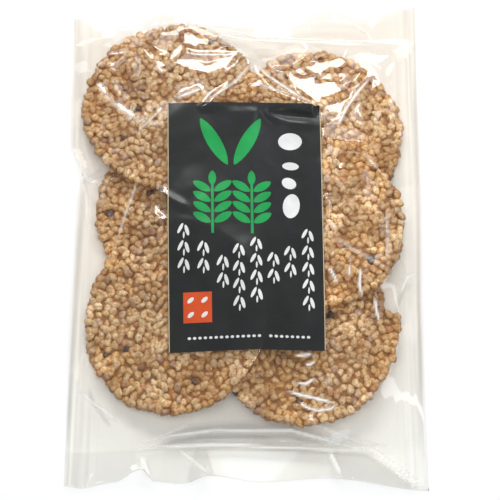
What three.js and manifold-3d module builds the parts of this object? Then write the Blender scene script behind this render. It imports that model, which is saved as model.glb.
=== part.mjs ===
// A clear sealed bag of round puffed-rice crackers, lying on its back with the printed side up.
// Millimetres, +Z up. The origin is on the table under the middle of the bag, +X runs across it
// and +Y runs from its bottom seal to its top seal. The bag is one closed solid of its outer
// shape: film drawn over seven crackers, with a flat skirt of film beyond each seal.
import * as THREE from "three";
import { mergeVertices } from "three/addons/utils/BufferGeometryUtils.js";
import Module from "manifold-3d";

// Crackers: handmade discs of about 95 mm. lift is the height of the underside at the middle,
// and slopeX and slopeY are the lean in degrees, where each one rests on those below it.
// A broken cracker keeps the side that its keep line leaves: keepX * x + keepY * y > keepFrom.
const CRACKER_THICKNESS = 8;
const RIM_ROUNDING = 6;
const CRACKERS = [
  { name: "middle_left", x: -35, y: 13.5, radiusX: 46, radiusY: 47, lift: 0, slopeX: 0, slopeY: 0 },
  {
    name: "half", x: 29, y: -40, radiusX: 45, radiusY: 45, lift: 0, slopeX: 0, slopeY: 0,
    keepX: 1, keepY: 0.25, keepFrom: 16,
  },
  { name: "top_right", x: 38, y: 58, radiusX: 48, radiusY: 48, lift: 4, slopeX: -4, slopeY: -3 },
  { name: "top_left", x: -41, y: 72, radiusX: 48, radiusY: 48, lift: 8, slopeX: 8, slopeY: -6 },
  {
    name: "bottom_right", x: 31, y: -52, radiusX: 51, radiusY: 51, lift: 7.5, slopeX: 0, slopeY: 0,
    keepX: -0.35, keepY: -1, keepFrom: 15,
  },
  { name: "middle_right", x: 38, y: 5.5, radiusX: 47, radiusY: 48, lift: 13, slopeX: -4, slopeY: -3 },
  { name: "bottom_left", x: -37, y: -47.5, radiusX: 48, radiusY: 51, lift: 13, slopeX: 12, slopeY: 8 },
];

// Bag outline
const HALF_WIDTH = 96;
// How far each side edge lies from the middle, at places along the bag: the left one is nicked in
const LEFT_REACH = [[-136, 95], [-88, 94], [-6, 92], [22, 91.5], [36, 89], [52, 95.5], [80, 96]];
const RIGHT_REACH = [[-136, 96], [-88, 95], [-34, 94.3], [22, 95.5], [80, 95]];
// Each end's seal line and the cut edge of the skirt beyond it, at places across the bag: the
// distance from the bag's middle along Y, and the height above the table
const TOP_END = {
  side: 1,
  sealReach: [[-96, 116], [-70, 114.5], [-42, 121.5], [-15, 119], [8, 115.5], [50, 114], [96, 117]],
  sealHeight: [[-96, 2], [-42, 8.5], [8, 6], [50, 6], [96, 2]],
  hemReach: [
    [-96, 130], [-78, 120.5], [-64, 120.5], [-45, 128.5], [-25, 123], [22, 122.5], [46, 131],
    [68, 128.5], [96, 136],
  ],
  hemHeight: [[-96, 1.4], [-78, 2.5], [-62, 4], [-45, 8], [10, 3], [46, 7], [69, 4], [96, 1.4]],
};
const BOTTOM_END = {
  side: -1,
  sealReach: [[-96, 114], [5, 111], [96, 114]],
  sealHeight: [[-96, 2], [-40, 4.5], [30, 5], [96, 2]],
  hemReach: [
    [-96, 133.5], [-87, 135], [-70, 132], [-55, 125.5], [-48, 131.5], [-32, 132.5], [-19, 128.5],
    [8, 131.5], [44, 130], [96, 136],
  ],
  hemHeight: [[-96, 1.4], [-75, 1.6], [-55, 6], [-38, 1.6], [-20, 5.5], [8, 1.6], [44, 5], [96, 1.4]],
};

// Film
const SIDE_HEIGHT = 6;
const CORNER_HEIGHT = 2;
const SHEET_THICKNESS = 0.9;
const FILM_GAP = 0.5;
const PUFF = 0.008;
const RELAX_ROUNDS = 600;

// Mesh
const COLUMNS = 44;
const BODY_ROWS = 50;
const SKIRT_ROWS = 4;
const ROWS = BODY_ROWS + 2 * SKIRT_ROWS;
const BASE_CUT = 0.4; // free film may sink this far, before the table plane trims it flat
const TRIM_SIZE = 400;

const FILM_COLOUR = 0xe9e6dc;

const clamp = THREE.MathUtils.clamp;
const lerp = THREE.MathUtils.lerp;
const tanDegrees = (degrees) => Math.tan(THREE.MathUtils.degToRad(degrees));

// The value at x of a line that eases from each [x, value] point to the next, and is level beyond
function eased(points, x) {
  let value = points[0][1];
  for (let i = 1; i < points.length; i++) {
    const [fromX, from] = points[i - 1];
    const [toX, to] = points[i];
    if (x > fromX) value = lerp(from, to, THREE.MathUtils.smoothstep(x, fromX, toX));
  }
  return value;
}

// 1 midway between the seals, easing to 0 at each of them
const betweenSeals = (bodyShare) => Math.sin(bodyShare * Math.PI);

// Where a grid point lies: its place on the table, and the height of the sheet's middle there if
// it is on a skirt, a seal or a side edge, where both films are pressed together
function gridPoint(column, row) {
  const nominalX = ((column / COLUMNS) * 2 - 1) * HALF_WIDTH;
  const bodyShare = clamp((row - SKIRT_ROWS) / BODY_ROWS, 0, 1);
  const end = bodyShare > 0.5 ? TOP_END : BOTTOM_END;
  const skirtShare = Math.max(row - SKIRT_ROWS - BODY_ROWS, SKIRT_ROWS - row, 0) / SKIRT_ROWS;
  const onSeal = bodyShare === 0 || bodyShare === 1;
  const onSide = column === 0 || column === COLUMNS;
  let y = lerp(-eased(BOTTOM_END.sealReach, nominalX), eased(TOP_END.sealReach, nominalX), bodyShare);
  let height = null;
  if (onSeal) {
    y = end.side * lerp(Math.abs(y), eased(end.hemReach, nominalX), skirtShare);
    height = lerp(eased(end.sealHeight, nominalX), eased(end.hemHeight, nominalX), skirtShare);
  } else if (onSide) {
    height = lerp(CORNER_HEIGHT, SIDE_HEIGHT, betweenSeals(bodyShare));
  }
  const x = nominalX * (eased(nominalX < 0 ? LEFT_REACH : RIGHT_REACH, y) / HALF_WIDTH);
  return { x, y, height };
}

// The heights of a cracker's underside and top at the point (x, y), or null where the cracker
// doesn't reach: it is flat but for its rounded rim
function crackerAt(cracker, x, y) {
  const dx = x - cracker.x;
  const dy = y - cracker.y;
  const inset = (1 - Math.hypot(dx / cracker.radiusX, dy / cracker.radiusY)) * cracker.radiusX;
  const kept = cracker.keepFrom === undefined || cracker.keepX * x + cracker.keepY * y > cracker.keepFrom;
  if (inset < 0 || !kept) return null;
  const middle = cracker.lift + tanDegrees(cracker.slopeX) * dx + tanDegrees(cracker.slopeY) * dy;
  const rimShare = clamp(1 - inset / RIM_ROUNDING, 0, 1);
  const rounding = (CRACKER_THICKNESS / 2) * (1 - Math.sqrt(1 - rimShare ** 2));
  return { underside: middle + rounding, top: middle + CRACKER_THICKNESS - rounding };
}

// Evens a sheet of heights as a stretched film lies: each free point settles to the mean of its
// neighbours plus a little puff, but stays between its lowest and highest bounds
function relax(heights, held, lowest, highest, puff) {
  const across = COLUMNS + 1;
  for (let round = 0; round < RELAX_ROUNDS; round++) {
    for (let i = 0; i < heights.length; i++) {
      if (held[i]) continue;
      const mean = (heights[i - 1] + heights[i + 1] + heights[i - across] + heights[i + across]) / 4;
      heights[i] = clamp(mean + puff, lowest[i], highest[i]);
    }
  }
}

// The bag's closed surface: the upper sheet, the lower sheet and the thin wall between their edges
function bagGeometry() {
  const across = COLUMNS + 1;
  const count = across * (ROWS + 1);
  const places = [];
  const held = [];
  const contentsTop = [];
  const contentsBottom = [];
  for (let row = 0; row <= ROWS; row++) {
    for (let column = 0; column <= COLUMNS; column++) {
      const place = gridPoint(column, row);
      const inside = CRACKERS.map((c) => crackerAt(c, place.x, place.y)).filter((c) => c !== null);
      places.push(place);
      held.push(place.height !== null);
      contentsTop.push(Math.max(0, ...inside.map((c) => c.top + FILM_GAP)));
      contentsBottom.push(Math.min(Infinity, ...inside.map((c) => c.underside)));
    }
  }
  const middle = places.map((p) => p.height ?? SIDE_HEIGHT);
  const upper = middle.slice();
  relax(upper, held, contentsTop, new Array(count).fill(Infinity), PUFF);
  const lower = middle.slice();
  relax(lower, held, new Array(count).fill(-BASE_CUT), contentsBottom, -PUFF);
  const half = SHEET_THICKNESS / 2;
  const positions = [];
  places.forEach((p, i) => positions.push(p.x, p.y, upper[i] + half));
  places.forEach((p, i) => positions.push(p.x, p.y, lower[i] - half));

  const faces = [];
  for (let row = 0; row < ROWS; row++) {
    for (let column = 0; column < COLUMNS; column++) {
      const a = row * across + column;
      const [b, c, d] = [a + 1, a + across + 1, a + across];
      faces.push(a, b, c, a, c, d);
      faces.push(a + count, c + count, b + count, a + count, d + count, c + count);
    }
  }
  const rim = [];
  for (let column = 0; column < COLUMNS; column++) rim.push(column);
  for (let row = 0; row < ROWS; row++) rim.push(row * across + COLUMNS);
  for (let column = COLUMNS; column > 0; column--) rim.push(ROWS * across + column);
  for (let row = ROWS; row > 0; row--) rim.push(row * across);
  rim.forEach((a, i) => {
    const b = rim[(i + 1) % rim.length];
    faces.push(a, a + count, b + count, a, b + count, b);
  });

  return new THREE.BufferGeometry()
    .setAttribute("position", new THREE.Float32BufferAttribute(positions, 3))
    .setIndex(faces);
}

const wasm = await Module();
wasm.setup();

function toSolid(geometry) {
  const bare = geometry.clone();
  bare.deleteAttribute("normal");
  bare.deleteAttribute("uv");
  const merged = mergeVertices(bare);
  return new wasm.Manifold(
    new wasm.Mesh({
      numProp: 3,
      vertProperties: merged.attributes.position.array,
      triVerts: new Uint32Array(merged.index.array),
    }),
  );
}

function toGeometry(solid) {
  const mesh = solid.getMesh();
  return new THREE.BufferGeometry()
    .setAttribute("position", new THREE.BufferAttribute(mesh.vertProperties, 3))
    .setIndex(new THREE.BufferAttribute(mesh.triVerts, 1));
}

// The bag's underside is trimmed flat by the plane of the table that it lies on
function restingBag() {
  const aboveTable = new THREE.BoxGeometry(TRIM_SIZE, TRIM_SIZE, TRIM_SIZE).translate(0, 0, TRIM_SIZE / 2);
  return toGeometry(toSolid(bagGeometry()).intersect(toSolid(aboveTable)));
}

const filmMaterial = new THREE.MeshStandardMaterial({
  color: FILM_COLOUR,
  roughness: 0.15,
  metalness: 0,
});

const bag = new THREE.Mesh(restingBag(), filmMaterial);
bag.name = "bag";

const pack = new THREE.Group();
pack.add(bag);

export default pack;
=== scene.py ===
# A clear sealed bag of round puffed-rice crackers, lying on its back on a white table.
# Sizes are in millimetres in the bag's own frame: +X runs across the bag, +Y from its bottom
# seal to its top seal, and +Z up out of its printed side.
import math

import bmesh
import bpy
import numpy as np
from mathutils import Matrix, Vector
from mathutils.bvhtree import BVHTree
from mathutils.geometry import delaunay_2d_cdt


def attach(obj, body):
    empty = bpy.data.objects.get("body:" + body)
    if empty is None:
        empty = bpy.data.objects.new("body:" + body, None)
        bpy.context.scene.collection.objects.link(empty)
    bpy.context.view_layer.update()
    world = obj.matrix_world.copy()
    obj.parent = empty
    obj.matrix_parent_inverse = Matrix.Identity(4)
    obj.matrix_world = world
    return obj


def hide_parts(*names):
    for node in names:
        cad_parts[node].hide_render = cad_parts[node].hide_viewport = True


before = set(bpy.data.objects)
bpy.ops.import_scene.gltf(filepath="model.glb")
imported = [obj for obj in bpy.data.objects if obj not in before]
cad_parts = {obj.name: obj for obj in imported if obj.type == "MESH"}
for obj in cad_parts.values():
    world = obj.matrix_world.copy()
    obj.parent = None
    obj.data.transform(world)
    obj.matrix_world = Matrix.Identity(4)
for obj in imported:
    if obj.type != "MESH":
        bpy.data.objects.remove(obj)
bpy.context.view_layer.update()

# The crackers
# Seven round crackers of whole puffed rice grains, pressed together with a soy and sugar glaze
# and baked, so they are uneven, knobbly and browner at the rim. They lie loose in the bag and
# lean on one another; two are broken, and only the pieces beyond their broken edges are there.
MM = 0.001
CRACKER_THICKNESS = 8.0
TABLE_CLEARANCE = 0.4
GRAIN_LENGTH = 5.7
GRAIN_WIDTH = 4.4
GRAIN_HEIGHT = 3.9
# The smallest and the largest grains, as shares of that length, width and height
SMALLEST_GRAIN = (0.84, 0.86, 0.92)
LARGEST_GRAIN = (1.14, 1.12, 1.06)
GRAIN_LUMPS = 0.055
GRAIN_TIP = 0.45
GRAIN_GAP = 2.75
UNDERSIDE_GRAIN_GAP = 3.5
GRAIN_SINK = 1.5
FACE_INSET = 4.4
RIM_SPACING = 3.9
# The two rows of grains round the rim: the height and the inset of each
RIM_ROWS = ((2.2, 2.6), (CRACKER_THICKNESS - 2.4, 2.3))
RIM_SHIFT = 0.8
RIM_TURN = 1.2
CORE_INSET = 2.6
CORE_STEP = 2.0
OUTLINE_WOBBLE = 0.018
SCATTER_THROWS = 9000
FIRST_SEED = 11

# lift is the height of the underside at the middle, slope the lean in degrees along X and Y,
# pallor how pale its colours are, where 1 is the middle, toasting how strong its darker and lighter
# patches are where they differ from the others', and keep (a, b, c) leaves only the side of a
# broken cracker where a * x + b * y > c.
CRACKERS = {
    "middle_left": dict(middle=(-35, 13.5), radii=(46, 47), lift=0, slope=(0, 0), pallor=0.95),
    "half": dict(middle=(29, -40), radii=(45, 45), lift=0, slope=(0, 0), pallor=0.95, keep=(1, 0.25, 16)),
    "top_right": dict(middle=(38, 58), radii=(48, 48), lift=4, slope=(-4, -3), pallor=1.07),
    "top_left": dict(middle=(-41, 73), radii=(48, 49), lift=8, slope=(8, -5), pallor=0.92),
    "bottom_right": dict(
        middle=(31, -52), radii=(51, 51), lift=7.5, slope=(0, 0), pallor=1.02, keep=(-0.35, -1, 15)
    ),
    "middle_right": dict(
        middle=(38, 5.5), radii=(47, 48), lift=13, slope=(-4, -3), pallor=1.03, toasting=0.27
    ),
    "bottom_left": dict(middle=(-37, -47.5), radii=(48, 51), lift=13, slope=(12, 8), pallor=1.0),
}

# Colours as the eye reads them, 0 to 255, and how common each grain colour is; black rice is last
GRAIN_COLOURS = [
    ((226, 198, 154), 0.308),
    ((216, 182, 136), 0.3),
    ((208, 170, 120), 0.21),
    ((196, 170, 150), 0.09),
    ((178, 128, 88), 0.055),
    ((136, 98, 84), 0.033),
    ((60, 64, 68), 0.004),
]
BLACK_RICE = len(GRAIN_COLOURS) - 1
MIDDLE_TONE = (216, 182, 136)
GOLDEN_BROWN = (205, 157, 94)
# Glaze brown with painted shade: the colour that the low points between the grains are blended towards
GLAZE_AND_SHADE_COLOUR = (184, 132, 82)
# Painted highlight: the pale colour that the grains' outer faces are blended towards
PAINTED_HIGHLIGHT_COLOUR = (246, 228, 196)
CORE_COLOUR = (150, 112, 78)
MOTTLE_COLOUR = (158, 104, 54)
# How much of that painted highlight the outermost points get
PAINTED_HIGHLIGHT_SHARE = 0.34
GRAIN_MOTTLE = 0.12
TOASTING = 0.18
TOASTED_TINT = (0.85, 1.0, 1.15)
GOLDEN_PATCH_LENGTH = 50
TOASTED_PATCH_LENGTH = 24
TOASTED_SEED_SHIFT = 40
BROWN_RIM = 12


def linear(colour):
    """An sRGB colour, 0 to 255, as the linear numbers that Blender works in."""
    share = np.asarray(colour, dtype=float) / 255
    return np.where(share <= 0.04045, share / 12.92, ((share + 0.055) / 1.055) ** 2.4)


def rising(distance, reach):
    """0 up to a distance of 0, then rising evenly to 1 at the reach."""
    return np.clip(distance / reach, 0, 1)


def outline_radius(cracker, seed, angle):
    """How far a hand-shaped cracker's edge is from its middle, in a direction."""
    wobble = np.random.default_rng(seed)
    reach = 1 / np.hypot(np.cos(angle) / cracker["radii"][0], np.sin(angle) / cracker["radii"][1])
    for lobes in (2, 3, 5, 7, 11):
        size = OUTLINE_WOBBLE * wobble.uniform(0.2, 1.0) / math.sqrt(lobes)
        reach = reach * (1 + size * np.sin(lobes * angle + wobble.uniform(0, 2 * math.pi)))
    return reach


def inset_from_edge(cracker, seed, x, y):
    """How far inside the cracker's edge, or inside its broken edge, each place is."""
    dx = x - cracker["middle"][0]
    dy = y - cracker["middle"][1]
    inset = outline_radius(cracker, seed, np.arctan2(dy, dx)) - np.hypot(dx, dy)
    if "keep" in cracker:
        a, b, c = cracker["keep"]
        inset = np.minimum(inset, (a * x + b * y - c) / math.hypot(a, b))
    return inset


def underside_height(cracker, x, y):
    slope_x, slope_y = (math.tan(math.radians(degrees)) for degrees in cracker["slope"])
    dx = x - cracker["middle"][0]
    dy = y - cracker["middle"][1]
    return TABLE_CLEARANCE + cracker["lift"] + slope_x * dx + slope_y * dy


def edge_walk(cracker, seed, inset, step):
    """Evenly spaced places round a cracker, a little inside its edge, and the edge's direction."""
    ring_points = 1440
    break_points = 600
    break_reach = 60
    look_ahead = 0.5
    tolerance = 0.6
    middle = np.array(cracker["middle"])
    angle = np.linspace(0, 2 * math.pi, ring_points, endpoint=False)
    reach = outline_radius(cracker, seed, angle) - inset
    ring = middle + np.stack([np.cos(angle), np.sin(angle)], axis=1) * reach[:, None]
    paths = [np.vstack([ring, ring[:1]])]
    if "keep" in cracker:
        a, b, c = cracker["keep"]
        normal = np.array([a, b]) / math.hypot(a, b)
        along = np.array([-normal[1], normal[0]])
        foot = middle - normal * (middle @ normal - c / math.hypot(a, b)) + normal * inset
        paths.append(foot + along * np.linspace(-break_reach, break_reach, break_points)[:, None])
    places = []
    for path in paths:
        length = np.concatenate([[0], np.cumsum(np.hypot(*np.diff(path, axis=0).T))])
        count = int(length[-1] / step)
        at = np.linspace(0, length[-1], count, endpoint=False)
        x, y = (np.interp(at, length, side) for side in path.T)
        ahead_x, ahead_y = (np.interp(at + look_ahead, length, side) for side in path.T)
        places.append(np.stack([x, y, np.arctan2(ahead_y - y, ahead_x - x)], axis=1))
    places = np.vstack(places)
    return places[inset_from_edge(cracker, seed, *places[:, :2].T) > inset - tolerance]


def scattered(cracker, seed, rng, inset, gap):
    """Places thrown at random over a cracker, keeping each one that has room for its grain."""
    reach = 1.1 * max(cracker["radii"])
    thrown = np.array(cracker["middle"]) + rng.uniform(-reach, reach, (SCATTER_THROWS, 2))
    thrown = thrown[inset_from_edge(cracker, seed, *thrown.T) > inset]
    kept = np.empty((0, 2))
    for place in thrown:
        if not len(kept) or np.hypot(*(kept - place).T).min() > gap:
            kept = np.vstack([kept, place])
    return kept


def grain_places(cracker, seed, rng):
    """The middle and the heading of every grain of a cracker, with z from its underside."""
    rows = []
    top_row = (CRACKER_THICKNESS - GRAIN_HEIGHT / 2, 1, GRAIN_GAP)
    for z, toward, gap in (top_row, (GRAIN_HEIGHT / 2, -1, UNDERSIDE_GRAIN_GAP)):
        places = scattered(cracker, seed, rng, FACE_INSET, gap)
        count = len(places)
        heights = z - toward * rng.uniform(0, GRAIN_SINK, count)
        rows.append(np.column_stack([places, heights, rng.uniform(0, math.pi, count)]))
    for z, inset in RIM_ROWS:
        places = edge_walk(cracker, seed, inset, RIM_SPACING)
        shifts = rng.uniform(-RIM_SHIFT, RIM_SHIFT, (len(places), 3))
        heading = places[:, 2] + rng.uniform(-RIM_TURN, RIM_TURN, len(places))
        rows.append(np.column_stack([places[:, :2] + shifts[:, :2], z + shifts[:, 2], heading]))
    return np.vstack(rows)


def unit_ball(subdivisions):
    ball = bmesh.new()
    bmesh.ops.create_icosphere(ball, subdivisions=subdivisions, radius=1)
    points = np.array([v.co[:] for v in ball.verts])
    faces = np.array([[v.index for v in f.verts] for f in ball.faces])
    ball.free()
    return points, faces


def grain_shapes(count, rng):
    """Puffed grains as (grain, point, xyz): plump ovals with a few dents and lobes, no two alike."""
    ball, faces = unit_ball(subdivisions=2)
    swell = np.ones((count, len(ball)))
    for frequency, depth in ((2.2, 0.12), (3.9, 0.1), (5.2, 0.08)):
        direction = rng.normal(size=(count, 3))
        direction /= np.linalg.norm(direction, axis=1, keepdims=True)
        phase = rng.uniform(0, 2 * math.pi, (count, 1))
        swell += depth * np.sin(frequency * direction @ ball.T + phase)
    swell += rng.normal(0, GRAIN_LUMPS, swell.shape)
    half_size = np.array([GRAIN_LENGTH, GRAIN_WIDTH, GRAIN_HEIGHT]) / 2
    sizes = half_size * rng.uniform(SMALLEST_GRAIN, LARGEST_GRAIN, (count, 3))
    return ball[None] * swell[:, :, None] * sizes[:, None, :], faces


def turned(points, heading, tip):
    """Grain points tipped about their own X axis and then turned about Z."""
    x, y, z = points[..., 0], points[..., 1], points[..., 2]
    c, s = np.cos(tip)[:, None], np.sin(tip)[:, None]
    y, z = y * c - z * s, y * s + z * c
    c, s = np.cos(heading)[:, None], np.sin(heading)[:, None]
    return np.stack([x * c - y * s, x * s + y * c, z], axis=-1)


def mesh_object(name, points, faces):
    mesh = bpy.data.meshes.new(name)
    mesh.from_pydata(np.asarray(points) * MM, [], faces)
    mesh.validate()
    mesh.polygons.foreach_set("use_smooth", [True] * len(mesh.polygons))
    obj = bpy.data.objects.new(name, mesh)
    bpy.context.collection.objects.link(obj)
    return obj


def paint_points(obj, colours, gloss=1.0):
    """Keeps a linear colour and a gloss for each point of the mesh, for its material to read."""
    layer = obj.data.color_attributes.new("tone", "FLOAT_COLOR", "POINT")
    with_alpha = np.column_stack([colours, np.broadcast_to(gloss, len(colours))])
    layer.data.foreach_set("color", with_alpha.ravel())


def core_slab(cracker, seed):
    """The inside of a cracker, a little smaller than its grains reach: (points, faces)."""
    walk = edge_walk(cracker, seed, CORE_INSET, CORE_STEP)[:, :2]
    centre = walk.mean(axis=0)
    walk = walk[np.argsort(np.arctan2(walk[:, 1] - centre[1], walk[:, 0] - centre[0]))]
    count = len(walk)
    levels = ((0.94, 2.2), (1.0, 2.8), (1.0, CRACKER_THICKNESS - 3.1), (0.95, CRACKER_THICKNESS - 2.5))
    points = []
    for share, z in levels:
        ring = centre + (walk - centre) * share
        points.append(np.column_stack([ring, np.full(count, z)]))
    points = np.vstack(points)
    faces = [list(range(count))[::-1]]
    for level in range(3):
        for i in range(count):
            j = (i + 1) % count
            low, high = level * count, (level + 1) * count
            faces.append([low + i, low + j, high + j, high + i])
    faces.append([3 * count + i for i in range(count)])
    return points, faces


def patchy(places, seed, wavelength):
    """Smooth patches over a cracker, about -2 to 2, from waves that cross in all directions."""
    waves = 7
    rng = np.random.default_rng(seed)
    total = np.zeros(len(places))
    for _ in range(waves):
        angle = rng.uniform(0, math.pi)
        frequency = 2 * math.pi / (wavelength * rng.uniform(0.6, 1.6))
        along = places[:, 0] * math.cos(angle) + places[:, 1] * math.sin(angle)
        total += np.sin(frequency * along + rng.uniform(0, 2 * math.pi))
    return total / math.sqrt(waves / 2)


def grain_tones(cracker, seed, rng, places, reach_up):
    """Each grain point's linear colour: its grain's own, glazed brown with painted shade where its level is
    low, between the grains, and paler on its outer face with a painted highlight, in golden and toasted
    patches."""
    count = len(places)
    picks = rng.choice(len(GRAIN_COLOURS), count, p=[share for _, share in GRAIN_COLOURS])
    own = linear([colour for colour, _ in GRAIN_COLOURS])[picks]
    patch = 1.4 * patchy(places, seed, GOLDEN_PATCH_LENGTH) + rng.normal(0, 0.5, count)
    rim = 1 - rising(inset_from_edge(cracker, seed, *places[:, :2].T), BROWN_RIM)
    golden = np.clip(0.3 + 0.4 * patch + 0.6 * rim, 0, 1)[:, None]
    own = own * (1 - golden + golden * linear(GOLDEN_BROWN) / linear(MIDDLE_TONE))
    facing = np.where(places[:, 2] > CRACKER_THICKNESS / 2, 1.0, -1.0)[:, None]
    level = reach_up * facing + 0.35 * (places[:, 2:3] - CRACKER_THICKNESS / 2) * facing - 0.55
    # Glaze with painted shade: the lower a point lies between the grains, the more of this browner, darker
    # colour it gets
    sunk = np.clip(0.66 - 0.8 * level, 0, 1) ** 1.2
    glaze_and_shade = np.clip(0.06 + 0.9 * sunk, 0, 0.95)[..., None]
    colours = own[:, None, :] * (1 - glaze_and_shade) + linear(GLAZE_AND_SHADE_COLOUR) * glaze_and_shade
    # Painted highlight: the grains are paler on their outer faces
    painted_highlight = PAINTED_HIGHLIGHT_SHARE * rising(level - 0.45, 0.5)[..., None]
    colours = colours * (1 - painted_highlight) + linear(PAINTED_HIGHLIGHT_COLOUR) * painted_highlight
    colours[picks == BLACK_RICE] = linear(GRAIN_COLOURS[BLACK_RICE][0])
    colours = colours * cracker["pallor"] * np.exp(rng.normal(0, GRAIN_MOTTLE, level.shape))[..., None]
    toasted = patchy(places, seed + TOASTED_SEED_SHIFT, TOASTED_PATCH_LENGTH)[:, None, None]
    return colours * np.exp(cracker.get("toasting", TOASTING) * toasted * np.array(TOASTED_TINT))


def cracker_object(name, cracker, seed):
    rng = np.random.default_rng(seed)
    places = grain_places(cracker, seed, rng)
    count = len(places)
    shapes, ball_faces = grain_shapes(count, rng)
    shapes = turned(shapes, places[:, 3], rng.normal(0, GRAIN_TIP, count))
    colours = grain_tones(cracker, seed, rng, places, shapes[..., 2] / (GRAIN_HEIGHT / 2))
    grains = shapes + places[:, None, :3]
    grains[..., 2] = np.clip(grains[..., 2], 0, CRACKER_THICKNESS + 0.1)

    core_points, core_faces = core_slab(cracker, seed)
    all_points = np.vstack([grains.reshape(-1, 3), core_points])
    per_grain = shapes.shape[1]
    grain_faces = (ball_faces[None] + per_grain * np.arange(count)[:, None, None]).reshape(-1, 3)
    all_faces = grain_faces.tolist()
    first = count * per_grain
    all_faces += [[first + i for i in face] for face in core_faces]
    all_points[:, 2] += underside_height(cracker, all_points[:, 0], all_points[:, 1])
    core_colours = np.tile(linear(CORE_COLOUR), (len(core_points), 1))

    obj = mesh_object("cracker_" + name, all_points, all_faces)
    paint_points(obj, np.vstack([colours.reshape(-1, 3), core_colours]))
    return obj


def new_material(name):
    """A material and its tree of nodes."""
    material = bpy.data.materials.new(name)
    material.use_nodes = True
    return material, material.node_tree


def set_inputs(tree, node, **inputs):
    """Sets each input of a node to a value, or joins it to another node's output."""
    for name, value in inputs.items():
        socket = node.inputs[name.replace("_", " ")]
        if isinstance(value, bpy.types.NodeSocket):
            tree.links.new(value, socket)
        else:
            socket.default_value = value


def add_node(tree, kind, **inputs):
    node = tree.nodes.new("ShaderNode" + kind)
    set_inputs(tree, node, **inputs)
    return node


def noise(tree, scale, detail, **inputs):
    """Noise that keeps its place on the piece, with its scale per metre."""
    place = add_node(tree, "TexCoord").outputs["Object"]
    return add_node(tree, "TexNoise", Vector=place, Scale=scale, Detail=detail, **inputs).outputs["Fac"]


def ripples(tree, scale, detail, strength, depth):
    """A surface that noise raises unevenly, to a depth in millimetres."""
    height = noise(tree, scale, detail)
    return add_node(tree, "Bump", Height=height, Strength=strength, Distance=depth * MM).outputs["Normal"]


def point_tone(tree):
    """The colour that paint_points keeps, with the gloss as its alpha."""
    tone = add_node(tree, "VertexColor")
    tone.layer_name = "tone"
    return tone


def cracker_material():
    """Baked rice: each grain's tone, with its painted shade and highlight, mottled, under a thin uneven
    glaze.
    """
    material, tree = new_material("glazed_puffed_rice")
    mottle = noise(tree, 620, 5, Roughness=0.6)
    glazed = add_node(tree, "MapRange", Value=mottle, From_Min=0.47, From_Max=0.62, To_Min=0.08, To_Max=0.7)
    gloss = add_node(tree, "MapRange", Value=mottle, To_Min=0.32, To_Max=0.6)
    tone = point_tone(tree).outputs["Color"]
    speckled = add_node(tree, "Mix")
    speckled.data_type = "RGBA"
    set_inputs(tree, speckled, Factor=glazed.outputs["Result"], A=tone, B=(*linear(MOTTLE_COLOUR), 1))
    set_inputs(
        tree, tree.nodes["Principled BSDF"], Base_Color=speckled.outputs["Result"],
        Roughness=gloss.outputs["Result"], Normal=ripples(tree, 600, 4, 0.8, 1.0),
    )
    return material


glazed_puffed_rice = cracker_material()
for number, (cracker_name, cracker) in enumerate(CRACKERS.items()):
    piece = cracker_object(cracker_name, cracker, seed=FIRST_SEED + number)
    piece.data.materials.append(glazed_puffed_rice)
    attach(piece, "root")
    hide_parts("bag")

# The film
# One pouch of thin clear plastic film, heat-sealed along both sides and across both ends, with a
# loose skirt beyond each end seal. It is drawn over the crackers, bridges the gaps between them,
# and is crinkled into flat facets that meet in sharp creases.
HALF_WIDTH = 96.0
# How far each side edge lies from the middle, at places along the bag: the left one is nicked in
LEFT_REACH = [(-136, 95), (-88, 94), (-6, 92), (22, 91.5), (36, 89), (52, 95.5), (80, 96)]
RIGHT_REACH = [(-136, 96), (-88, 95), (-34, 94.3), (22, 95.5), (80, 95)]
# Each end's seal line and cut edge, at places across the bag: how far from the middle, how high
TOP_SEAL_REACH = [(-96, 116), (-70, 116), (-42, 123.5), (-15, 119), (8, 115.5), (50, 114), (96, 117)]
TOP_SEAL_HEIGHT = [(-96, 2), (-42, 8.5), (8, 6), (50, 6), (96, 2)]
TOP_HEM_REACH = [
    (-96, 130), (-78, 120.5), (-64, 120.5), (-45, 128.5), (-25, 123), (22, 122.5), (46, 131),
    (68, 128.5), (96, 136),
]
TOP_HEM_HEIGHT = [(-96, 1.4), (-78, 2.5), (-62, 4), (-45, 8), (10, 3), (46, 7), (69, 4), (96, 1.4)]
BOTTOM_SEAL_REACH = [(-96, 114), (5, 111), (96, 114)]
BOTTOM_SEAL_HEIGHT = [(-96, 2), (-40, 4.5), (30, 5), (96, 2)]
BOTTOM_HEM_REACH = [
    (-96, 133.5), (-87, 135), (-70, 132), (-55, 125.5), (-48, 131.5), (-32, 132.5), (-19, 128.5),
    (8, 131.5), (44, 130), (96, 136),
]
BOTTOM_HEM_HEIGHT = [
    (-96, 1.4), (-75, 1.6), (-55, 6), (-38, 1.6), (-20, 5.5), (8, 1.6), (44, 5), (96, 1.4),
]
SIDE_HEIGHT = 6.0
CORNER_HEIGHT = 2.0
TABLE_FILM_HEIGHT = 0.15
FILM_GAP = 0.8
UNDERSIDE_FILM_GAP = 0.25
PLY_GAP = 0.24
RIM_ROUNDING = 2.6
GRAIN_OVERHANG = 1.0
PUFF = 0.008
NO_LIMIT = 99.0
UPPER_ROUNDS = 700
LOWER_ROUNDS = 500
COLUMNS = 200
BODY_ROWS = 208
SKIRT_ROWS = 16
ROW_CROWDING = 0.35
RAY_START = 50.0
CRINKLED_LENGTH = 140
CRINKLE_CELL = (13.0, 15.0)
FINE_CRINKLE_CELL = (5.0, 6.5)
FINE_SHARE = 0.3
STREAK_CELL = (3.4, 46.0)
STREAK_RISE = 0.35
SKIRT_CELL = (15.0, 24.0)
SKIRT_RISE = 2.4
# The part of the bottom skirt that lies flat: its middle, and how far it reaches either way
FLAT_MIDDLE = 6
FLAT_REACH = 26
FACET_EDGE = 1.3
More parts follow.
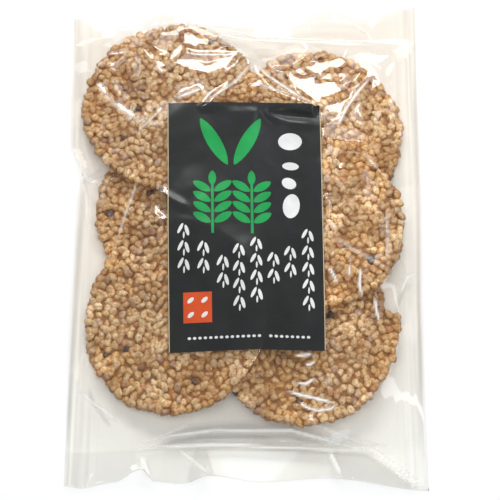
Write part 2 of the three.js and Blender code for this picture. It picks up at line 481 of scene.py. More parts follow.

# Sharp folds in the film, from its top end to its bottom one: the places along each, how far it
# stands up, half its width, and how strongly white is painted along its middle as a painted glint
FOLDS = [
    ([(-32, 123), (-17.5, 120.5), (-5, 119), (16.5, 113)], 0.3, 1.5, 0.5),
    ([(22.5, 117.5), (29.5, 123.5), (46.5, 125.5), (59.5, 124), (68, 118.5), (71, 110.5)], 0.5, 1.5, 0.4),
    ([(-23, 112.5), (-6.5, 113), (35.5, 112.5), (74.5, 111.5)], 0.5, 1.5, 0.65),
    ([(-57, 110.5), (-51.5, 106), (-45.5, 98.5), (-42, 98.5), (-34.5, 112.5)], 0.9, 2.4, 0),
    ([(-17.5, 114), (-9, 107.5), (-1.5, 100.5), (4, 95)], 0.4, 1.5, 0.5),
    ([(-81.5, 86), (-77, 79), (-69.5, 71), (-59.5, 63.5), (-44, 57.5)], 0.5, 1.5, 0.5),
    ([(-58.5, 56), (-51, 63), (-45.5, 69)], 0.5, 1.5, 0.4),
    ([(-38, 74.5), (-30.5, 77), (-23.5, 80)], 0.8, 1.8, 0.7),
    ([(-22, 71.5), (-13, 78), (-5.5, 83.5), (4, 95)], 0.8, 1.8, 0.5),
    ([(4, 95), (13, 87), (22.5, 80.5), (38.5, 69.5)], 0.8, 1.8, 0.6),
    ([(6, 82.5), (14, 79.5), (26.5, 76)], 0.4, 1.5, 0.6),
    ([(43, 62), (50.5, 60.5), (55, 70.5), (62.5, 82), (70.5, 92)], 0.9, 1.8, 0.6),
    ([(7, 69.5), (16, 62), (24, 60), (40, 59.5)], 0.8, 3, 0),
    ([(52, 31), (51, 36)], 1.1, 2, 0),
    ([(-90, 37), (-84, 31), (-78, 29)], 0.4, 1.6, 0.6),
    ([(-89.5, 34), (-86, 22), (-85, 4)], 0.4, 2, 0.4),
    ([(-73, 37.5), (-67.5, 29)], 0.8, 2.2, 0),
    ([(-58, 29), (-60, 20.5), (-64, 9.5), (-68.5, -7)], 0.6, 1.6, 0.35),
    ([(-50.5, 22.5), (-47.5, 20.5), (-42.5, 20)], 1, 3, 0),
    ([(-47.5, 20.5), (-42, 17.5), (-35, 13), (-29.5, 9.5)], 0.7, 3, 0),
    ([(-50, 12.5), (-48.5, 8), (-45, 4), (-41.5, 3.5)], 1.2, 2.6, 0),
    ([(75.5, 13.5), (75.5, -3), (74.5, -19.5)], 0.3, 1.6, 0.3),
    ([(45, -3), (57, -11), (70, -18), (75.5, -21.5)], 0.4, 2, 0.3),
    ([(81.5, -18), (88.5, -16)], 0.5, 3, 0),
    ([(93, -20), (86, -24), (82, -34)], 0.4, 1.6, 0.5),
    ([(44, -21), (46.5, -25.5), (48.5, -29.5)], 0.3, 1.6, 0.85),
    ([(55, -19.5), (54.5, -23.5), (55.5, -26)], 0.3, 1.6, 0.7),
    ([(61, -20.5), (60, -30.5), (61.5, -36.5)], 0.3, 1.6, 0.85),
    ([(68, -36.5), (69, -43.5), (70.5, -49.5)], 0.3, 1.6, 0.85),
    ([(26, -68.5), (35, -68)], 0.2, 1.5, 0.8),
    ([(31, -73.5), (34, -73), (36.5, -71)], 0.2, 1.5, 0.8),
    ([(27, -82.5), (31.5, -83), (36, -80)], 0.3, 1.6, 0.9),
    ([(21, -86.5), (28.5, -88.5), (47, -92.5)], 0.3, 1.6, 0.95),
    ([(27.5, -92.5), (32.5, -95), (37.5, -96.5), (44.5, -95.5), (48, -92.5)], 0.3, 1.5, 0.85),
    ([(-88, -84), (-78, -92), (-66, -101)], 0.4, 2, 0.4),
    ([(-58, -113), (-44.5, -108), (-27.5, -102.5)], 0.3, 1.5, 0.35),
    ([(31.5, -103), (42, -105), (52, -108), (64.5, -113.5), (72.5, -118.5), (95, -134.5)], 0.4, 2, 0.45),
    ([(38, -104.5), (48, -107.5), (60, -111), (74, -112.5)], 0.4, 2, 0.5),
    ([(-57, -113.5), (-49, -110), (-38.5, -108), (-16, -105.5), (24, -106), (48, -111.5), (62, -114.5)],
     0.8, 1.6, 0.8),
    ([(-59, -115.5), (-45, -113), (-16.5, -112), (16, -113.5), (44, -115), (68, -116)], 0.6, 1.6, 0.8),
    ([(64, -116), (73, -121), (94, -135.5)], 0.9, 2.4, 0.45),
    ([(-55, -117.5), (-50, -129.5)], 0.4, 2.8, 0.7),
    ([(-35.5, -114), (-18.5, -128)], 0.4, 2, 0.6),
    ([(44, -115.5), (50, -128.5)], 0.4, 2.8, 0.7),
]
# How wide each fold's painted glint is, as a share of the fold's half width
PAINTED_GLINT_WIDTH_SHARE = 0.6

# Facets where the film is drawn flat, with creases for edges: the outline of each, and how
# steeply it rises along X and Y. A later facet is laid over an earlier one.
FACETS = [
    ([(-32, 102.5), (-4, 101), (-11.5, 96), (-21, 92), (-25.5, 94.5), (-39, 95.5)], (-0.025, -0.235)),
    ([(-47, 115.5), (-37.5, 117.5), (-37, 111), (-41.5, 105), (-45, 102), (-51.5, 105.5)],
     (-0.04, -0.23)),
    ([(9, 97.5), (13.5, 100.5), (27, 106.5), (33.5, 105.5), (36, 102.5), (32, 98), (24.5, 93),
      (13.5, 94)], (0.02, -0.225)),
    ([(48.5, 86), (63.5, 94), (64.5, 92.5), (60.5, 86.5), (51, 83.5)], (0.06, -0.235)),
    ([(-24, 68), (-14, 78), (-2.5, 88), (4, 93), (8, 88), (16, 79), (26, 75), (36, 71), (36, 67)],
     (0, -0.09)),
    ([(43, 61), (50, 61), (60, 60), (66, 55), (64, 47), (52, 49), (43, 50)], (0.04, -0.34)),
    ([(-34.5, 114), (-30.5, 115), (-20.5, 108), (-21, 106), (-25.5, 107), (-28, 103.5), (-32, 105.5),
      (-36.5, 101.5), (-40.5, 94), (-42, 96), (-38.5, 103), (-34, 109.5)], (-0.035, -0.15)),
    ([(-43, 95.5), (-32.5, 96), (-25.5, 95), (-21, 93), (-11.5, 97), (-2.5, 101.5), (-9.5, 93),
      (-20.5, 87), (-31, 90)], (-0.03, -0.165)),
    ([(-33, 105.5), (-27, 103.5), (-3, 103), (-3, 101), (-27, 101), (-32, 102.5)],
     (-0.025, -0.155)),
    ([(-58, 105), (-55, 105.5), (-50, 98.5), (-45.5, 98.5), (-42.5, 95), (-45, 93.5), (-50, 96),
      (-54, 99.5)], (-0.045, -0.15)),
    ([(32, 95.5), (38.5, 97), (46.5, 99.5), (53.5, 101.5), (56, 97.5), (52.5, 93.5), (45, 93.5),
      (38.5, 88), (38, 90.5), (33, 93)], (0.045, -0.165)),
    ([(22.5, 90), (31, 87.5), (39, 89), (38, 84.5), (49.5, 86), (50.5, 83.5), (54.5, 78.5),
      (41.5, 73.5), (40, 69.5), (31.5, 77.5), (24, 85.5)], (0.04, -0.175)),
    ([(2.5, 82.5), (8, 85), (9, 81), (4, 80)], (0.005, -0.175)),
    ([(43, 17.5), (46, 17.5), (45.5, 9), (46, 2), (43, 2), (43, 9)], (-0.51, 0.02)),
]


def eased(places, x):
    """The value at x of a line that eases from each (x, value) place to the next."""
    value = np.full_like(x, places[0][1], dtype=float)
    for (from_x, start), (to_x, end) in zip(places, places[1:]):
        share = rising(x - from_x, to_x - from_x)
        share = share * share * (3 - 2 * share)
        value = np.where(x > from_x, start + (end - start) * share, value)
    return value


def film_grid(columns, body_rows, skirt_rows):
    """Where the film's points lie on the table, and their height where both plies are pressed
    together, with not-a-number where they are free."""
    rows = body_rows + 2 * skirt_rows
    across, row = np.meshgrid(np.linspace(-HALF_WIDTH, HALF_WIDTH, columns + 1), np.arange(rows + 1))
    row_share = rising(row - skirt_rows, body_rows)
    body_share = row_share - ROW_CROWDING * np.sin(row_share * 2 * math.pi) / (2 * math.pi)
    skirt_share = np.maximum(np.maximum(row - skirt_rows - body_rows, skirt_rows - row), 0) / skirt_rows
    top = body_share > 0.5
    low_seal, high_seal = -eased(BOTTOM_SEAL_REACH, across), eased(TOP_SEAL_REACH, across)
    low_hem, high_hem = -eased(BOTTOM_HEM_REACH, across), eased(TOP_HEM_REACH, across)
    y = low_seal + (high_seal - low_seal) * body_share
    y += skirt_share * np.where(top, high_hem - high_seal, low_hem - low_seal)
    seal_height = np.where(top, eased(TOP_SEAL_HEIGHT, across), eased(BOTTOM_SEAL_HEIGHT, across))
    hem_height = np.where(top, eased(TOP_HEM_HEIGHT, across), eased(BOTTOM_HEM_HEIGHT, across))
    between = np.sin(body_share * math.pi)
    left_reach, right_reach = (np.interp(y, *np.transpose(reach)) for reach in (LEFT_REACH, RIGHT_REACH))
    x = across * np.where(across < 0, left_reach, right_reach) / HALF_WIDTH
    pressed = np.full(x.shape, np.nan)
    side = np.abs(across) > HALF_WIDTH - 0.01
    pressed[side] = (CORNER_HEIGHT + (SIDE_HEIGHT - CORNER_HEIGHT) * between)[side]
    ends = (body_share == 0) | (body_share == 1)
    pressed[ends] = (seal_height + (hem_height - seal_height) * skirt_share)[ends]
    return x, y, pressed


def contents_limits(x, y):
    """The highest top and the lowest underside of the crackers at each place, with a gap."""
    highest = np.zeros(x.shape)
    lowest = np.full(x.shape, NO_LIMIT)
    for seed, cracker in enumerate(CRACKERS.values(), start=FIRST_SEED):
        inset = inset_from_edge(cracker, seed, x, y) + GRAIN_OVERHANG
        rim_share = 1 - rising(inset, RIM_ROUNDING)
        rounding = RIM_ROUNDING * (1 - np.sqrt(1 - rim_share**2))
        middle = underside_height(cracker, x, y)
        top = middle + CRACKER_THICKNESS + FILM_GAP - rounding
        underside = middle + rounding - UNDERSIDE_FILM_GAP
        highest = np.where(inset > 0, np.maximum(highest, top), highest)
        lowest = np.where(inset > 0, np.minimum(lowest, underside), lowest)
    return highest, lowest


def stretched(start, pressed, lowest, highest, puff, rounds):
    """Film heights after it pulls itself even: the mean of its neighbours, within its limits."""
    height = start.copy()
    free = np.isnan(pressed)[1:-1, 1:-1]
    for _ in range(rounds):
        mean = (height[:-2, 1:-1] + height[2:, 1:-1] + height[1:-1, :-2] + height[1:-1, 2:]) / 4
        settled = np.clip(mean + puff, lowest[1:-1, 1:-1], highest[1:-1, 1:-1])
        height[1:-1, 1:-1] = np.where(free, settled, height[1:-1, 1:-1])
    return height


def refined(height, shape):
    """The heights on a grid with twice as many squares each way."""
    finer = np.zeros(shape)
    finer[::2, ::2] = height
    finer[1::2, ::2] = (height[1:] + height[:-1]) / 2
    finer[:, 1::2] = (finer[:, 2::2] + finer[:, :-2:2]) / 2
    return finer


def film_heights(side):
    """The upper (side 1) or lower (side -1) film's height at each point, from coarse to fine."""
    coarsest = 4
    for level in (coarsest, 2, 1):
        x, y, pressed = film_grid(COLUMNS // level, BODY_ROWS // level, SKIRT_ROWS // level)
        start = SIDE_HEIGHT if level == coarsest else refined(height, x.shape)
        resting = np.where(np.isnan(pressed), start, pressed)
        contents_top, contents_bottom = contents_limits(x, y)
        if side > 0:
            lowest, highest, rounds = contents_top, np.full(x.shape, NO_LIMIT), UPPER_ROUNDS
        else:
            lowest, rounds = np.full(x.shape, TABLE_FILM_HEIGHT), LOWER_ROUNDS
            highest = np.maximum(contents_bottom, TABLE_FILM_HEIGHT)
        puff = side * PUFF * (level / coarsest) ** 2
        height = stretched(resting, pressed, lowest, highest, puff, rounds)
    return x, y, height


def grid_quads(rows, across):
    """The numbers of the four points round each square of a grid, row by row."""
    a = (np.arange(rows - 1)[:, None] * across + np.arange(across - 1)).ravel()
    return np.stack([a, a + 1, a + across + 1, a + across], axis=1)


def height_below(tree, x, y):
    """The height of a surface straight below each place, or 0 where there is none."""
    down = Vector((0, 0, -1))
    hits = [tree.ray_cast(Vector((u, v, RAY_START)), down)[0] for u, v in zip(x.ravel(), y.ravel())]
    return np.array([hit.z if hit else 0.0 for hit in hits]).reshape(x.shape)


def crinkle(x, y, cell, seed, size):
    """How far flat facets between randomly raised corners stand up at each place: 0 to size."""
    jitter = 0.42
    rng = np.random.default_rng(seed)
    columns = np.arange(-HALF_WIDTH - 2 * cell[0], HALF_WIDTH + 3 * cell[0], cell[0])
    rows = np.arange(-CRINKLED_LENGTH - 2 * cell[1], CRINKLED_LENGTH + 3 * cell[1], cell[1])
    node_x, node_y = np.meshgrid(columns, rows)
    node_x = node_x + rng.uniform(-jitter, jitter, node_x.shape) * cell[0]
    node_y = node_y + rng.uniform(-jitter, jitter, node_y.shape) * cell[1]
    node_z = rng.uniform(0, 1, node_x.shape) ** 1.4 * size(node_x, node_y)
    nodes = np.stack([node_x, node_y, node_z], axis=-1).reshape(-1, 3)
    faces = []
    for a, b, c, d in grid_quads(*node_x.shape).tolist():
        faces += [(a, b, c), (a, c, d)] if rng.uniform() < 0.5 else [(a, b, d), (b, c, d)]
    return height_below(BVHTree.FromPolygons(nodes.tolist(), faces), x, y)


def beside(x, y, start, end):
    """How far along a straight line each place lies, 0 to 1, and how far it is from the line."""
    side = end - start
    along = np.clip(((x - start[0]) * side[0] + (y - start[1]) * side[1]) / (side @ side), 0, 1)
    return along, np.hypot(x - start[0] - along * side[0], y - start[1] - along * side[1])


def crease_ridge(x, y, places, rise, half_width):
    """A tent-shaped ridge along a line of places, dying out at both of its ends."""
    places = np.array(places, dtype=float)
    lengths = np.hypot(*np.diff(places, axis=0).T)
    ridge = np.zeros(x.shape)
    walked = 0.0
    for start, end, length in zip(places, places[1:], lengths):
        along, off = beside(x, y, start, end)
        share = (walked + along * length) / lengths.sum()
        taper = np.clip(np.minimum(share, 1 - share) * 5, 0.15, 1)
        reach = half_width * (0.5 + 0.5 * taper)
        ridge = np.maximum(ridge, rise * taper * (1 - rising(off, reach)))
        walked += length
    return ridge


def distance_inside(x, y, outline):
    """How far inside a closed outline each place is, less than 0 outside it."""
    corners = np.array(outline, dtype=float)
    nearest = np.full(x.shape, np.inf)
    inside = np.zeros(x.shape, dtype=bool)
    for start, end in zip(corners, np.roll(corners, -1, axis=0)):
        nearest = np.minimum(nearest, beside(x, y, start, end)[1])
        side = end - start
        if side[1] != 0:
            crosses = (start[1] > y) != (end[1] > y)
            inside ^= crosses & (x < start[0] + (y - start[1]) * side[0] / side[1])
    return np.where(inside, nearest, -nearest)


def with_facets(x, y, height, smooth_height):
    """The film heights with each flat facet laid over its outline, and a crease at its edge."""
    for outline, lean in FACETS:
        middle = np.mean(outline, axis=0)
        inset = distance_inside(x, y, outline)
        slant = lean[0] * (x - middle[0]) + lean[1] * (y - middle[1])
        level = (smooth_height - slant)[inset > 0].max()
        share = np.clip(1 + inset / FACET_EDGE, 0, 1)
        height = height + share * (level + slant - height)
    return height


def softened(height):
    """The heights with their sharpest corners taken off, by a mean with the eight neighbours."""
    inner = height[1:-1, 1:-1] * 4 + 2 * (height[:-2, 1:-1] + height[2:, 1:-1])
    inner += 2 * (height[1:-1, :-2] + height[1:-1, 2:])
    inner += height[:-2, :-2] + height[2:, 2:] + height[:-2, 2:] + height[2:, :-2]
    height[1:-1, 1:-1] = inner / 16
    return height


def crinkle_size(x, y):
    """How far the film's facets stand off it: most at the top, least over the lower left."""
    top = rising(y - 76, 20)
    right = rising(x - 42, 12) * rising(y + 75, 30)
    return 0.45 + 1.9 * top + 0.7 * right


def upper_film_heights():
    x, y, smooth_height = film_heights(1)
    from_side = HALF_WIDTH - np.abs(x)
    side_fade = rising(from_side, 14)
    seal_fade = rising(112 - np.abs(y), 8)
    large = crinkle(x, y, CRINKLE_CELL, seed=5, size=crinkle_size)
    fine = crinkle(x, y, FINE_CRINKLE_CELL, seed=6, size=lambda u, v: FINE_SHARE * crinkle_size(u, v))
    streaks = crinkle(x, y, STREAK_CELL, seed=7, size=lambda u, v: STREAK_RISE)
    height = smooth_height + large * side_fade * seal_fade + fine * side_fade * seal_fade
    margin = 1 - rising(from_side - 4, 16)
    height += streaks * np.clip(margin * 3, 0, 1) * rising(from_side, 3)
    for places, rise, half_width, _ in FOLDS:
        height += crease_ridge(x, y, places, rise, half_width)
    return x, y, with_facets(x, y, softened(height), smooth_height)


def skirt_folds(x, y):
    """Both plies of a skirt buckle together, more towards the cut edge."""
    past_seal = rising(np.abs(y) - 113, 14)
    flat = (1 - rising(np.abs(x - FLAT_MIDDLE), FLAT_REACH)) * (y < 0)
    buckle = crinkle(x, y, SKIRT_CELL, seed=8, size=lambda u, v: SKIRT_RISE)
    return buckle * past_seal * (1 - flat)


# The light that each ply of the film lets through, cool at the bottom and warm further up, and
# what each folded facet near the bottom seal multiplies it by: painted shade below 1, where a facet
# would mirror the dark or lie in shadow, and painted light above 1
WARM_FILM = (0.992, 0.976, 0.95)
COOL_FILM = (0.99, 0.986, 0.968)
TOP_FILM = (0.98, 0.96, 0.93)
SKIRT_FACET_SHADING = [
    ([(-57.5, -115.5), (-38, -108.5), (-10.5, -105), (22, -105), (48.5, -111.5), (30, -113),
      (-30, -112.5)], 0.96),
    ([(-44, -108), (-27, -102), (0, -100), (30, -101.5), (52, -108), (34, -107.5), (15, -105.5),
      (-16, -105.5), (-38, -108)], 0.94),
    ([(-54, -117.5), (-26.5, -113.5), (-24, -117.5), (-31.5, -134), (-49, -134)], 0.985),
    ([(-26.5, -113.5), (-20, -114), (-14, -134), (-31.5, -134)], 0.945),
    ([(-18.5, -114.5), (10.5, -112.5), (31.5, -112.5), (10.5, -134), (-8, -134)], 1.02),
    ([(31.5, -112.5), (44.5, -114), (52, -134), (12, -134)], 0.985),
    ([(44.5, -114.5), (64, -116), (94, -137), (52, -134)], 0.94),
    ([(-96, -116), (-58, -114), (-55, -124.5), (-69.5, -134), (-96, -137)], 0.97),
]

# Folds, and the film's side edges, whose shade is painted into its tint: each shows as a dark line
PAINTED_SHADE_FOLDS = [
    [(-60, -117), (-48, -114), (-38, -111), (-24, -108.5), (22, -108), (36, -110.5), (50, -114)],
    [(-56, -115.5), (-26.5, -114.5), (10.5, -114.5), (36.5, -115.5), (64, -118)],
    [(-93.5, -118), (-92, -60), (-90, 0), (-89, 30)],
    [(93.5, -118), (92.5, -60), (93, 20), (93, 112)],
    [(-89, 31), (-83, 34), (-77, 37)],
    [(-84, -80), (-80, -90), (-70, -104)],
    [(90, -26), (84, -30), (80, -42)],
]


def margin_streaks(x):
    """Long streaks down the bag, strongest where the plies lie close at its sides."""
    rows, columns = x.shape
    knots = np.random.default_rng(21).normal(0, 1, (7, columns))
    at = np.linspace(0, len(knots) - 1.001, rows)
    low = at.astype(int)
    share = (at - low)[:, None]
    streaks = knots[low] * (1 - share) + knots[low + 1] * share
    return streaks * np.clip(1 - (HALF_WIDTH - 2 - np.abs(x)) / 20, 0.1, 1)


def film_tints(x, y):
    """The tint of one ply at each place: streaked along the bag at its sides, a little clearer towards the
    right with painted light, with painted shade and light on the folded facets near the bottom seal, and
    painted shade along its dark folds.
    """
    warmth = rising(y + 110, 90)[..., None]
    tints = np.array(WARM_FILM) * warmth + np.array(COOL_FILM) * (1 - warmth)
    near_top = rising(y - 60, 50)[..., None]
    tints = tints * (1 - near_top) + np.array(TOP_FILM) * near_top
    clearness = 1 + 0.016 * margin_streaks(x)
    # Painted light: a little clearer towards the right side, below the top
    clearness += 0.012 * rising(x, 80) * rising(80 - y, 40)
    # Painted shade and light on the folded facets near the bottom seal
    for outline, painted_shading in SKIRT_FACET_SHADING:
        clearness *= 1 + (painted_shading - 1) * rising(distance_inside(x, y, outline), 0.8)
    # Painted shade along the dark folds and side edges
    for places in PAINTED_SHADE_FOLDS:
        clearness *= 1 - 0.1 * crease_ridge(x, y, places, 1, 1.6)
    tints = tints * clearness[..., None]
    return np.clip(tints, 0, 1)


def film_painted_glints(x, y):
    """How much white is painted at each place: sharp folds have white lines along them, painted glints."""
    white = np.zeros(x.shape)
    for places, _, half_width, painted_glint in FOLDS:
        line = np.minimum(1.5 * crease_ridge(x, y, places, 1, PAINTED_GLINT_WIDTH_SHARE * half_width), 1)
        white = np.maximum(white, painted_glint * line)
    return white


def film_gloss(x, y):
    """How much of its shine each place keeps: streaked at the sides, and less in the skirts."""
    past_seal = rising(np.abs(y) - 112, 3)
    middle = np.clip(1.6 - np.abs(x - FLAT_MIDDLE) / FLAT_REACH, 0, 1) * (y < 0)
    gloss = 1 - past_seal * (0.3 + 0.7 * middle)
    gloss *= np.clip(1 - 0.6 * margin_streaks(x), 0.1, 1.3)
    return gloss


def film_object():
    x, y, upper = upper_film_heights()
    _, _, lower = film_heights(-1)
    folds = skirt_folds(x, y)
    upper = upper + folds
    lower = lower + folds
    edge = np.zeros(x.shape, dtype=bool)
    edge[[0, -1], :] = True
    edge[:, [0, -1]] = True
    upper = np.where(edge, lower, np.maximum(upper, lower + PLY_GAP))
    inner = np.flatnonzero(~edge.ravel())
    lower_index = np.arange(x.size)
    lower_index[inner] = x.size + np.arange(inner.size)
    upper_points = np.stack([x, y, upper], axis=-1).reshape(-1, 3)
    lower_points = np.stack([x, y, lower], axis=-1).reshape(-1, 3)[inner]
    quads = grid_quads(*x.shape)
    faces = np.vstack([quads, lower_index[quads[:, ::-1]]])
    obj = mesh_object("film", np.vstack([upper_points, lower_points]), faces)
    tints = film_tints(x, y).reshape(-1, 3)
    gloss = film_gloss(x, y).ravel()
    paint_points(obj, np.vstack([tints, tints[inner]]), np.concatenate([gloss, gloss[inner]]))
    # The painted glints along the folds, which the material paints white
    painted_glint = obj.data.attributes.new("painted_glint", "FLOAT", "POINT")
    white = film_painted_glints(x, y).ravel()
    painted_glint.data.foreach_set("value", np.concatenate([white, np.zeros(inner.size)]))
    return obj, (x, y, upper)


def worked_out(tree, operation, value, number):
    node = add_node(tree, "Math")
    node.operation = operation
    tree.links.new(value, node.inputs[0])
    node.inputs[1].default_value = number
    return node.outputs["Value"]


def blended(tree, share, first, second):
    """The first shader, with a share of the second."""
    node = add_node(tree, "MixShader", Fac=share)
    tree.links.new(first.outputs[0], node.inputs[1])
    tree.links.new(second.outputs[0], node.inputs[2])
    return node


def film_material():
    """Thin clear film: a faint warm tint to what is seen through it, a glossy surface that shines
    most where it is seen edge-on, and flat white painted along its sharpest folds as a painted glint."""
    material, tree = new_material("clear_film")
    tree.nodes.remove(tree.nodes["Principled BSDF"])
    tone = point_tone(tree)
    surface = ripples(tree, 180, 2, 0.1, 0.5)
    clear = add_node(tree, "BsdfTransparent", Color=tone.outputs["Color"])
    sheen = add_node(tree, "BsdfGlossy", Color=(1, 1, 1, 1), Roughness=0.05, Normal=surface)
    # Painted glint: flat white along the sharpest folds
    painted_glint_white = add_node(tree, "BsdfDiffuse", Color=(0.98, 0.96, 0.92, 1))
    edge_on = add_node(tree, "LayerWeight", Normal=surface).outputs["Facing"]
    steepness = worked_out(tree, "POWER", edge_on, 5)
    face_on = worked_out(tree, "MULTIPLY", tone.outputs["Alpha"], 0.06)
    reflected = add_node(tree, "MapRange", Value=steepness, To_Min=face_on, To_Max=0.9)
    # How much painted glint each point has
    painted_glint = add_node(tree, "Attribute")
    painted_glint.attribute_name = "painted_glint"
    glossy = blended(tree, reflected.outputs["Result"], clear, sheen)
    glossy_with_painted_glints = blended(tree, painted_glint.outputs["Fac"], glossy, painted_glint_white)
    set_inputs(tree, tree.nodes["Material Output"], Surface=glossy_with_painted_glints.outputs["Shader"])
    return material


film, (film_x, film_y, film_z) = film_object()
film.data.materials.append(film_material())
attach(film, "root")
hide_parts("bag")

# The printed panel
# An oblong of opaque black ink, printed on the front of the film, with plain fields of colour on
# it: green leaves and ears of grain, white ovals, rows of small white grains and an orange square.
# It follows the film and has the film's own gloss.
PANEL_CORNERS = [(-40.0, -66.5), (42.0, -65.9), (40.7, 70.3), (-42.2, 71.7)]
PANEL_WIDTH = 83.0
PANEL_HEIGHT = 138.0
PANEL_MESH_STEP = 1.5
PANEL_RISE = 0.12
DOT_STEP = 2.85
ROW_STEP = 9.2
INK_COLOURS = {
    # The black is lighter than the ink alone: the sheen of the film over it is painted in
    "black_ink_and_sheen": (47, 48, 48),
    "green_ink": (40, 152, 80),
    "white_ink": (222, 222, 220),
    "orange_ink": (206, 84, 48),
    "edge_ink": (196, 178, 146),
}


def oval(middle, length, width, turn=0.0, points=14, point_ends=1.0):
    """An oval, or a leaf with pointed ends where point_ends is over 1: panel millimetres."""
    angle = np.linspace(0, 2 * math.pi, points, endpoint=False)
    u = length / 2 * np.cos(angle)
    v = width / 2 * np.sign(np.sin(angle)) * np.abs(np.sin(angle)) ** point_ends
    c, s = math.cos(math.radians(turn)), math.sin(math.radians(turn))
    return np.column_stack([middle[0] + u * c - v * s, middle[1] + u * s + v * c])


def oblong(left, bottom, right, top):
    return np.array([(left, bottom), (right, bottom), (right, top), (left, top)], dtype=float)


def grain_ear(middle_u, bottom_v, top_v):
    """A stalk with pairs of plump grains up its sides and one at its tip."""
    shapes = [oblong(middle_u - 0.7, bottom_v, middle_u + 0.7, top_v - 7)]
    pairs = 4
    for pair in range(pairs):
        v = bottom_v + 9 + pair * (top_v - bottom_v - 17) / (pairs - 1)
        for side in (-1, 1):
            shapes.append(oval((middle_u + side * 5.6, v), 11, 4.6, turn=side * 32, point_ends=1.4))
    shapes.append(oval((middle_u, top_v - 3.2), 8.5, 4.2, turn=90, point_ends=1.4))
    return shapes


def print_shapes():
    """Every coloured shape on the panel, as (ink, outline)."""
    shapes = [
        ("green_ink", oval((25, 115), 31, 7.5, turn=118, points=24, point_ends=1.5)),
        ("green_ink", oval((43, 115), 31, 7.5, turn=62, points=24, point_ends=1.5)),
        ("white_ink", oval((66, 116), 13, 10, turn=10, points=20)),
        ("white_ink", oval((66, 101.5), 9, 4.6)),
        ("white_ink", oval((65, 91.5), 8, 6.4, turn=-20)),
        ("white_ink", oval((66, 78.5), 14, 9, turn=80, points=20)),
    ]
    shapes += [("green_ink", outline) for outline in grain_ear(24, 62, 97) + grain_ear(45, 62, 97)]
    columns = [(8.5, 68, 3), (19, 58, 2), (29.3, 50, 2), (37.8, 56, 4)]
    columns += [(47, 60, 4), (56, 52, 2), (65, 56, 2), (74.5, 66, 5)]
    for u, top_v, count in columns:
        for place in range(count):
            v = top_v - 3.4 - place * ROW_STEP
            shapes.append(("white_ink", oval((u - 1.7, v + 0.7), 6.2, 1.8, turn=62, points=10)))
            shapes.append(("white_ink", oval((u + 1.8, v - 0.5), 6.2, 2.0, turn=106, points=10)))
            shapes.append(("white_ink", oval((u + 0.1, v - 3.0), 3.8, 1.0, turn=88, points=8)))
    shapes.append(("orange_ink", oblong(8, 15, 23.2, 31)))
    for u in (11.9, 19.3):
        for v in (19.2, 26.8):
            shapes.append(("white_ink", oval((u, v), 4.2, 2.2, turn=40, points=10)))
    for first_u, count in ((11, 14), (54, 8)):
        for place in range(count):
            shapes.append(("white_ink", oval((first_u + place * DOT_STEP, 7), 1.9, 1.5, points=8)))
    for left, right in ((0.05, 0.5), (PANEL_WIDTH - 0.5, PANEL_WIDTH - 0.05)):
        shapes.append(("edge_ink", oblong(left, 0.3, right, PANEL_HEIGHT - 0.3)))
    return shapes


def panel_place(points):
    """Panel millimetres to bag millimetres."""
    u = points[:, 0:1] / PANEL_WIDTH
    v = points[:, 1:2] / PANEL_HEIGHT
    low_left, low_right, high_right, high_left = (np.array(corner) for corner in PANEL_CORNERS)
    low = low_left + (low_right - low_left) * u
    high = high_left + (high_right - high_left) * u
    return low + (high - low) * v


def film_surface():
    """The front film as a tree of triangles, to set the print on."""
    points = np.stack([film_x, film_y, film_z], axis=-1).reshape(-1, 3)
    return BVHTree.FromPolygons(points.tolist(), grid_quads(*film_x.shape).tolist())


def subdivided(outline):
    """The outline with more points along its long sides, so that they bend with the film."""
    points = []
    for start, end in zip(outline, np.roll(outline, -1, axis=0)):
        count = math.ceil(np.hypot(*(end - start)) / PANEL_MESH_STEP)
        points.append(start + (end - start) * np.linspace(0, 1, count, endpoint=False)[:, None])
    return np.vstack(points)


def panel_object():
    outline = subdivided(oblong(0, 0, PANEL_WIDTH, PANEL_HEIGHT))
    shapes = [(ink, subdivided(shape)) for ink, shape in print_shapes()]
    points = [tuple(p) for p in outline]
    polygons = [list(range(len(outline)))]
    for _, shape in shapes:
        polygons.append(list(range(len(points), len(points) + len(shape))))
        points += [tuple(p) for p in shape]
    for u in np.arange(PANEL_MESH_STEP, PANEL_WIDTH, PANEL_MESH_STEP):
        for v in np.arange(PANEL_MESH_STEP, PANEL_HEIGHT, PANEL_MESH_STEP):
            points.append((float(u), float(v)))
    found = delaunay_2d_cdt([Vector(p) for p in points], [], polygons, 1, 1e-4)
    flat, faces, owners = found[0], found[2], found[5]
    flat = np.array([p[:] for p in flat])
    placed = panel_place(flat)
    heights = height_below(film_surface(), *placed.T) + PANEL_RISE
    obj = mesh_object("printed_panel", np.column_stack([placed, heights]), faces)
    inks = list(INK_COLOURS)
    for face, owner in zip(obj.data.polygons, owners):
        shape_numbers = [number for number in owner if number > 0]
        ink = shapes[max(shape_numbers) - 1][0] if shape_numbers else "black_ink_and_sheen"
        face.material_index = inks.index(ink)
    return obj


def ink_material(name, colour):
    """Printed ink under the film's glossy face, a little uneven in strength."""
    material, tree = new_material(name)
    strength = add_node(tree, "ValToRGB", Fac=noise(tree, 90, 4))
    thin, thick = strength.color_ramp.elements
    tone = linear(colour)
    thin.position, thin.color = 0.3, (*(tone * 0.86), 1)
    thick.position, thick.color = 0.7, (*np.minimum(tone * 1.08, 1), 1)
    set_inputs(
        tree, tree.nodes["Principled BSDF"], Base_Color=strength.outputs["Color"],
        Roughness=0.16, Specular_IOR_Level=0.2, Normal=ripples(tree, 180, 2, 0.06, 0.5),
    )
    return material


panel = panel_object()
for ink_name, ink_colour in INK_COLOURS.items():
    panel.data.materials.append(ink_material(ink_name, ink_colour))
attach(panel, "root")
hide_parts("bag")

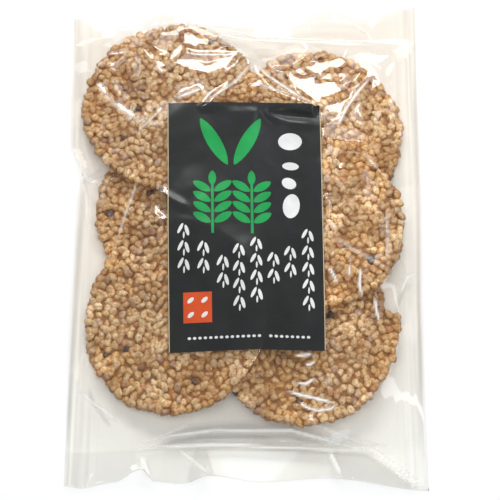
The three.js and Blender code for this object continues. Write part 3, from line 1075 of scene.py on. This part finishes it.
# The table, the lights and the camera
# A plain white studio table under soft lights: a wide overhead fill, a strip and a wider glow
# beyond the bag's top end, a long strip at each side, a small one in front and a faint cool window.
# The camera looks steeply down from the bottom end.
CAMERA_ELEVATION = 75
CAMERA_DISTANCE = 1000
PIXELS_PER_MM = 1.86
AIM = (1.4, -6.7, 8.0)
AIM_PIXEL = (248, 249)
FRAME_PIXELS = 500
SENSOR = 36.0


def white_table():
    bpy.ops.mesh.primitive_plane_add(size=6)
    table = bpy.context.object
    table.name = "table"
    material, tree = new_material("white_table")
    paper = add_node(tree, "TexNoise", Scale=60)
    tint = add_node(tree, "ValToRGB", Fac=paper.outputs["Fac"])
    for stop, white in zip(tint.color_ramp.elements, (0.93, 0.95)):
        stop.color = (white, white, white, 1)
    set_inputs(
        tree, tree.nodes["Principled BSDF"], Base_Color=tint.outputs["Color"],
        Roughness=0.9, Specular_IOR_Level=0.1,
    )
    table.data.materials.append(material)
    return table


def softbox(name, position, size, watts, colour=(1, 1, 1)):
    light = bpy.data.lights.new(name, "AREA")
    light.shape = "RECTANGLE"
    light.size, light.size_y = (side * MM for side in size)
    light.energy = watts
    light.color = colour
    obj = bpy.data.objects.new(name, light)
    bpy.context.collection.objects.link(obj)
    obj.location = Vector(position) * MM
    obj.rotation_euler = (-obj.location).to_track_quat("-Z", "Y").to_euler()
    return obj


white_table()
softbox("back_strip", (0, 640, 680), (700, 110), 2.7)
softbox("back_glow", (0, 690, 640), (900, 360), 3.0)
softbox("left_strip", (-850, 0, 560), (900, 40), 0.15)
softbox("right_strip", (850, 0, 560), (900, 110), 1.0)
softbox("front_strip", (0, -353, 1000), (300, 30), 0.25)
softbox("window", (164, 468, 1000), (130, 170), 0.2, colour=(0.7, 0.85, 1.0))
overhead = softbox("overhead_fill", (0, -300, 1400), (1000, 1000), 11.9)
overhead.visible_glossy = False

world = bpy.data.worlds.new("studio")
world.use_nodes = True
world.node_tree.nodes["Background"].inputs["Color"].default_value = (0.9, 0.95, 1.0, 1)
world.node_tree.nodes["Background"].inputs["Strength"].default_value = 0.2
bpy.context.scene.world = world

elevation = math.radians(CAMERA_ELEVATION)
camera = bpy.data.objects.new("camera", bpy.data.cameras.new("camera"))
bpy.context.collection.objects.link(camera)
camera.data.sensor_width = SENSOR
camera.data.lens = PIXELS_PER_MM * CAMERA_DISTANCE * SENSOR / FRAME_PIXELS
camera.data.shift_x = (FRAME_PIXELS / 2 - AIM_PIXEL[0]) / FRAME_PIXELS
camera.data.shift_y = (AIM_PIXEL[1] - FRAME_PIXELS / 2) / FRAME_PIXELS
camera.data.clip_start = 0.05
back = Vector((0, -math.cos(elevation), math.sin(elevation)))
camera.location = (Vector(AIM) + back * CAMERA_DISTANCE) * MM
camera.rotation_euler = (-back).to_track_quat("-Z", "Y").to_euler()
bpy.context.scene.camera = camera
bpy.context.scene.view_settings.view_transform = "Standard"
